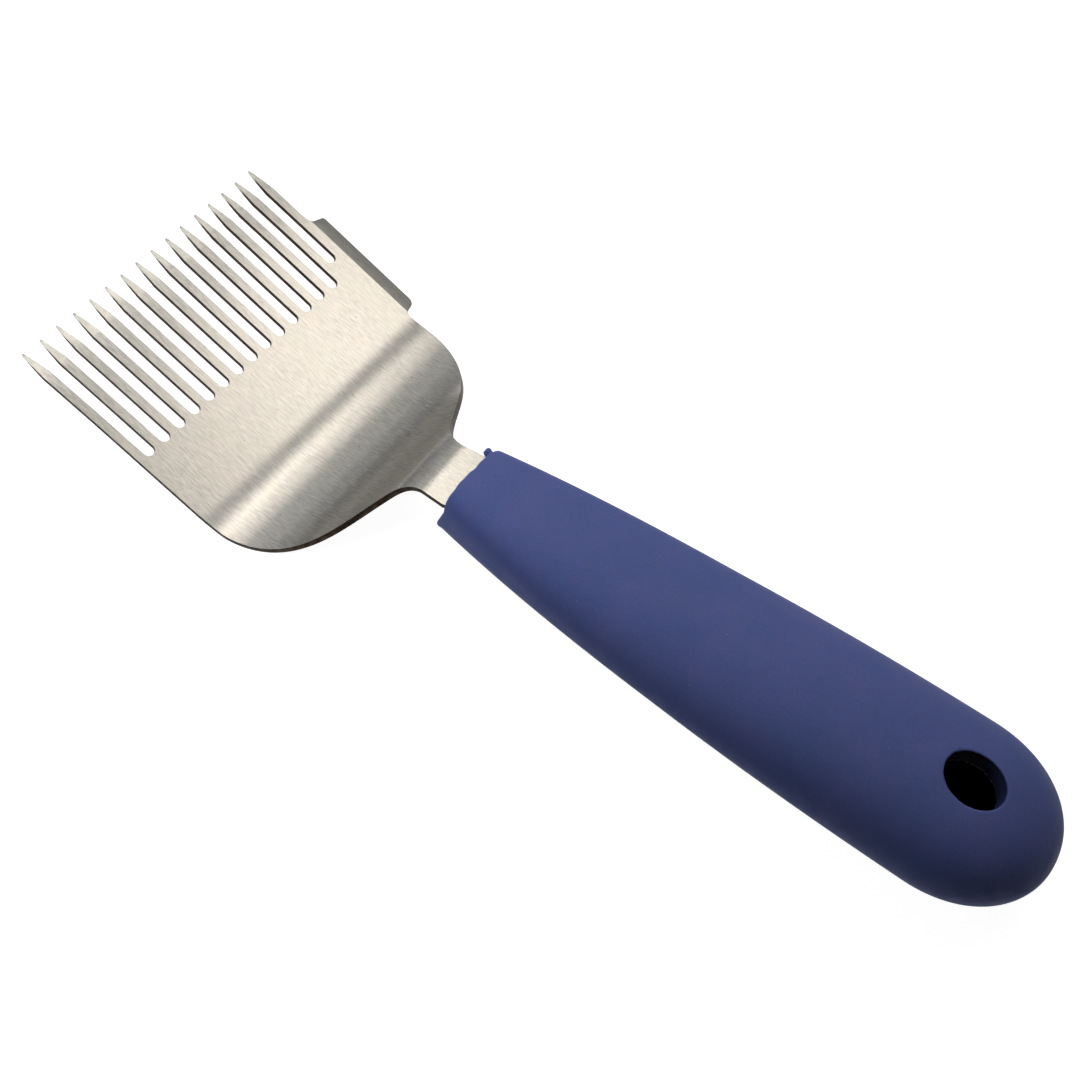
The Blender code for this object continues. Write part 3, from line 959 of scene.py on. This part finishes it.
def steel_material():
    n = Nodes("brushed_steel")
    flat = n.attribute("flat", "Vector")
    edge = n.attribute("edge")
    ground = n.attribute("ground")
    streaks = n.noise(n.place(flat, STREAK_SCALE), 1.0, detail=4.0, rough=0.62, distortion=0.5)
    fine = n.noise(n.place(flat, FINE_SCALE), 1.0, detail=2.0, rough=0.5)
    broad = n.noise(n.place(flat, BROAD_SCALE), 1.0, detail=3.0, rough=0.55)
    blotch = n.noise(n.place(flat, BLOTCH_SCALE), 1.0, detail=3.0, rough=0.6)
    speck = n.noise(n.place(flat, SPECK_SCALE), 1.0, detail=1.0, rough=0.5)
    rosy = n.noise(n.place(flat, ROSY_SCALE), 1.0, detail=3.0, rough=0.6)
    # The brushed faces: streaks, then broad tints, then small specks.
    clean = n.mix(n.spread(streaks, 0.37, 0.63), STEEL_DULL, STEEL_BRIGHT)
    clean = n.mix(n.spread(fine, 0.3, 0.7, 0.0, 0.35), clean, STEEL_FINE)
    clean = n.mix(n.spread(broad, 0.4, 0.75, 0.0, 0.4), clean, STEEL_GREENISH)
    clean = n.mix(n.spread(rosy, 0.45, 0.7, 0.0, 0.3), clean, STEEL_ROSY)
    clean = n.mix(n.spread(speck, 0.74, 0.80, 0.0, 0.7), clean, STEEL_SPECK)
    # The ground points and bevel, and the sheared edges; their darker colours are partly their finish and
    # partly painted shade.
    ground_and_shade = n.mix(n.spread(blotch, 0.3, 0.7), GROUND_AND_SHADE_DARK, GROUND_AND_SHADE_PALE)
    colour = n.mix(n.math("MULTIPLY", ground, 0.85), clean, ground_and_shade)
    # Painted shade on the cut walls, mixed with their own rough, dark face.
    cut_face_and_shade = n.mix(n.spread(blotch, 0.3, 0.7), SHEARED_AND_SHADE_DARK, SHEARED_AND_SHADE_PALE)
    colour = n.mix(n.spread(edge, 0.15, 0.5), colour, cut_face_and_shade)
    n.set("Base Color", colour)
    rough = n.spread(streaks, 0.25, 0.75, 0.27, 0.33)
    rough = n.math("ADD", rough, n.math("MULTIPLY", n.spread(edge, 0.15, 0.5), 0.25))
    n.set("Roughness", rough)
    n.set("Metallic", 1.0)
    n.set("Anisotropic", 0.8)
    n.link(n.attribute("brush", "Vector"), n.shader.inputs["Tangent"])
    relief = n.math("ADD", n.math("MULTIPLY", streaks, 0.8), n.math("MULTIPLY", fine, 0.2))
    relief = n.math("SUBTRACT", relief, n.math("MULTIPLY", n.spread(speck, 0.74, 0.80), 0.5))
    n.set("Normal", n.bump(relief, strength=0.22, distance=0.00006))
    return n.material


def rubber_material(name, sheen, specular):
    n = Nodes(name)
    place = n.add("ShaderNodeTexCoord").outputs["Object"]
    cloud = n.noise(place, 95.0, detail=4.0, rough=0.6)
    small = n.noise(place, 420.0, detail=3.0, rough=0.6)
    grain = n.noise(place, 2600.0, detail=2.0, rough=0.55)
    dust = n.noise(place, 1900.0, detail=0.0, rough=0.5)
    colour = n.mix(n.spread(cloud, 0.35, 0.65), RUBBER_BASE, RUBBER_VIOLET)
    colour = n.mix(n.spread(small, 0.4, 0.7, 0.0, 0.45), colour, RUBBER_BRIGHT)
    colour = n.mix(n.spread(grain, 0.35, 0.75, 0.0, 0.3), colour, RUBBER_PIT)
    colour = n.mix(n.spread(dust, 0.86, 0.89, 0.0, 0.5), colour, RUBBER_DUST)
    # Painted shade: the hanging hole's wall turns near black, a little less on its far side.
    colour = n.mix(n.attribute("painted_hole_shade"), colour, RUBBER_SHADED)
    n.set("Base Color", colour)
    n.set("Roughness", n.spread(small, 0.3, 0.7, 0.58, 0.72))
    n.set("Specular IOR Level", specular)
    n.set("Sheen Weight", sheen)
    n.set("Sheen Roughness", 0.4)
    n.set("Sheen Tint", RUBBER_SHEEN_TINT)
    relief = n.math("ADD", n.math("MULTIPLY", grain, 0.6), n.math("MULTIPLY", small, 0.8))
    n.set("Normal", n.bump(relief, strength=0.35, distance=0.00015))
    return n.material


def plastic_material():
    n = Nodes("black_plastic")
    place = n.add("ShaderNodeTexCoord").outputs["Object"]
    cloud = n.noise(place, 300.0, detail=3.0, rough=0.6)
    grain = n.noise(place, 3000.0, detail=2.0, rough=0.5)
    # Painted shade: a near-black colour with no specular keeps the hanging hole dark.
    n.set("Base Color", n.mix(n.spread(cloud, 0.3, 0.7), PLASTIC_AND_SHADE_DARK, PLASTIC_AND_SHADE_PALE))
    n.set("Roughness", n.spread(cloud, 0.3, 0.7, 0.5, 0.65))
    n.set("Specular IOR Level", 0.0)
    n.set("Normal", n.bump(grain, strength=0.3, distance=0.0001))
    return n.material


def floor_material():
    n = Nodes("pale_floor")
    place = n.add("ShaderNodeTexCoord").outputs["Object"]
    cloud = n.noise(place, 6.0, detail=2.0, rough=0.5)
    n.set("Base Color", n.mix(cloud, FLOOR_DARK, FLOOR_PALE))
    n.set("Roughness", 0.9)
    n.set("Emission Color", (1.0, 1.0, 1.0, 1.0))
    n.set("Emission Strength", 0.96)
    return n.material


def make_floor():
    bm = bmesh.new()
    bmesh.ops.create_grid(bm, x_segments=8, y_segments=8, size=FLOOR_HALF_SIZE)
    mesh = bpy.data.meshes.new("floor")
    bm.to_mesh(mesh)
    bm.free()
    mesh.materials.append(floor_material())
    floor = bpy.data.objects.new("floor", mesh)
    floor.location = (0, 0, -FLOOR_DROP)
    # The tool is lit by the lights above it, not from below.
    floor.visible_diffuse = False
    bpy.context.scene.collection.objects.link(floor)


# Studio light, in metres and degrees.

WARM = (1.0, 0.915, 0.815)
NEUTRAL = (1.0, 0.985, 0.95)
COOL = (0.95, 0.97, 1.0)
ROOM_IN_GLOSS = 0.1
ROOM_ON_MATT = 0.03
AIM_FROM_MOUTH = Vector((-0.034, 0.0, -0.007))
BOTH = (True, True)
ONLY_MATT = (True, False)
ONLY_GLOSS = (False, True)
# Each soft box: its name, its tilt towards +X and turn towards +Y, its distance, size and
# radiance, its colour, and whether it lights matt surfaces, shows in glossy ones, or both.
SOFT_BOXES = (
    ("box_ahead", 15.0, 28.8, 0.42, (0.158, 0.148), 2.35, WARM, BOTH),
    ("strip_over", -11.6, 5.0, 0.23, (0.012, 0.243), 5.0, WARM, BOTH),
    ("gap_fill", -3.0, 15.0, 0.4, (0.08, 0.2), 0.2, COOL, ONLY_GLOSS),
    ("box_wide", -8.0, 20.0, 0.9, (1.2, 1.5), 0.17, NEUTRAL, ONLY_GLOSS),
    ("box_wider", -8.0, 20.0, 0.9, (2.4, 1.5), 0.11, NEUTRAL, ONLY_GLOSS),
    ("box_side", -31.0, 20.0, 0.9, (0.42, 1.5), 0.15, NEUTRAL, ONLY_GLOSS),
    ("box_low", -82.0, 0.0, 0.17, (0.28, 0.5), 0.11, NEUTRAL, ONLY_GLOSS),
    ("key", -25.0, -42.0, 0.18, (0.06, 0.06), 4.0, COOL, ONLY_GLOSS),
    ("near_fill", -25.0, -42.0, 0.12, (0.04, 0.04), 10.0, COOL, ONLY_MATT),
    ("soft_top", -12.0, 40.0, 0.3, (0.25, 0.25), 1.95, COOL, ONLY_MATT),
)


def add_light(name, tilt, side, distance, size, radiance, colour, lit):
    """A soft box aimed at the blade."""
    tilt, side = math.radians(tilt), math.radians(side)
    data = bpy.data.lights.new(name, "AREA")
    data.shape = "RECTANGLE"
    data.size, data.size_y = size
    data.energy = radiance * math.pi * size[0] * size[1]
    data.color = colour
    light = bpy.data.objects.new(name, data)
    away = Vector((math.sin(tilt) * math.cos(side), math.sin(side), math.cos(tilt) * math.cos(side)))
    across = Vector((math.cos(tilt), 0.0, -math.sin(tilt)))
    turn = Matrix((across, away.cross(across), away)).transposed().to_4x4()
    place = MOUTH_PLACE + AIM_FROM_MOUTH + away * distance
    light.matrix_world = Matrix.Translation(place) @ turn
    light.visible_camera = False
    light.visible_diffuse, light.visible_glossy = lit
    bpy.context.scene.collection.objects.link(light)


def make_room():
    """The room shows in the steel more than it lights the matt grip, and its backdrop is pale."""
    world = bpy.data.worlds.new("studio")
    world.use_nodes = True
    tree = world.node_tree
    background = tree.nodes["Background"]
    background.inputs["Color"].default_value = (*COOL, 1.0)
    path = tree.nodes.new("ShaderNodeLightPath")
    strength = tree.nodes.new("ShaderNodeMapRange")
    strength.inputs["To Min"].default_value = ROOM_IN_GLOSS
    strength.inputs["To Max"].default_value = ROOM_ON_MATT
    tree.links.new(path.outputs["Is Diffuse Ray"], strength.inputs["Value"])
    backdrop = tree.nodes.new("ShaderNodeMath")
    backdrop.operation = "ADD"
    tree.links.new(strength.outputs["Result"], backdrop.inputs[0])
    tree.links.new(path.outputs["Is Camera Ray"], backdrop.inputs[1])
    tree.links.new(backdrop.outputs["Value"], background.inputs["Strength"])
    bpy.context.scene.world = world


def make_light():
    make_room()
    for soft_box in SOFT_BOXES:
        add_light(*soft_box)


# The camera, at the photograph's viewing angle.

CAMERA_FROM_MOUTH = Vector((0.068828, -0.105614, 0.198263))
CAMERA_ACROSS = Vector((0.818758, 0.567075, 0.089786))
CAMERA_UP = Vector((-0.529904, 0.686186, 0.498347))
CAMERA_LENS = 40.146
SENSOR = 36.0


def make_camera():
    data = bpy.data.cameras.new("camera")
    data.sensor_width = SENSOR
    data.lens = CAMERA_LENS
    data.clip_start = 0.01
    data.clip_end = 20.0
    camera = bpy.data.objects.new("camera", data)
    back = CAMERA_ACROSS.cross(CAMERA_UP).normalized()
    turn = Matrix((CAMERA_ACROSS.normalized(), CAMERA_UP.normalized(), back)).transposed()
    camera.matrix_world = Matrix.Translation(MOUTH_PLACE + CAMERA_FROM_MOUTH) @ turn.to_4x4()
    bpy.context.scene.collection.objects.link(camera)
    bpy.context.scene.camera = camera


blade = make_blade(steel_material())
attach(blade, "root")
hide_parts("fork_blade")

rubber = rubber_material("blue_rubber", sheen=0.12, specular=0.25)
grip = make_from_field(
    "grip_skin", grip_field, spaced(*GRIP_XS), spaced(*GRIP_YS), np.linspace(*GRIP_ZS), rubber)
# The hole's wall gets a copy of the rubber without sheen and with little specular, as painted shade.
shade_hole(grip, rubber_material("shaded_rubber", sheen=0.0, specular=0.02))
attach(grip, "root")
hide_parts("handle_grip")

core = make_from_field(
    "handle_liner", core_field, spaced(*CORE_XS), np.linspace(*CORE_YS), np.linspace(*CORE_ZS),
    plastic_material())
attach(core, "root")
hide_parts("handle_core")

make_floor()
make_light()
make_camera()
bpy.context.scene.view_settings.view_transform = "Standard"
